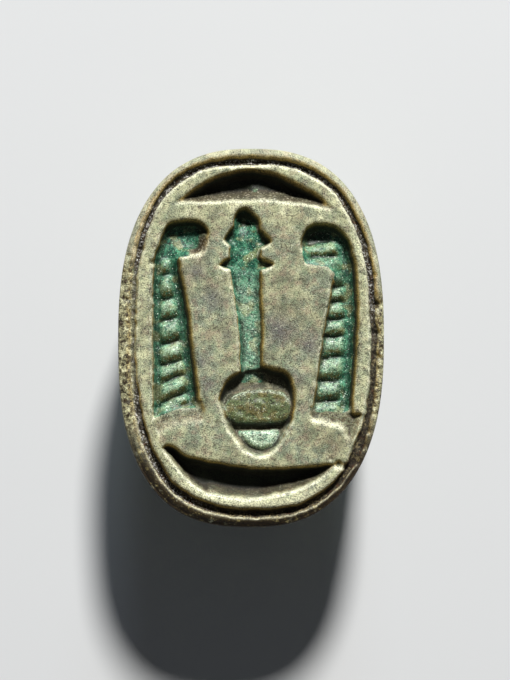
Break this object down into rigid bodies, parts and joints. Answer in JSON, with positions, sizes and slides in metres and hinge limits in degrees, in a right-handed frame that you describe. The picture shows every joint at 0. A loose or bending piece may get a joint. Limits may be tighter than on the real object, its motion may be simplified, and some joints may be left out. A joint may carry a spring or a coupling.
{
  "type": "scarab amulet",
  "caption": "Small oval beetle amulet of glazed soapstone, its flat seal face carved with sunk signs in a line border, pierced lengthwise for a string.",
  "frame": {"origin": "under the middle of the amulet, on the surface it lies on, at the flat spot of the beetle's back", "axes": "+Z out of the carved seal face, +Y towards the beetle's head and the top of the seal, +X to the right of the seal"},
  "size_m": [0.0116, 0.0164, 0.0072],
  "materials": {
    "glazed_steatite": "worn green glaze in the cuts, bare pale stone on the high parts"
  },
  "bodies": {
    "root": {"scarab": "glazed_steatite"}
  },
  "joints": []
}
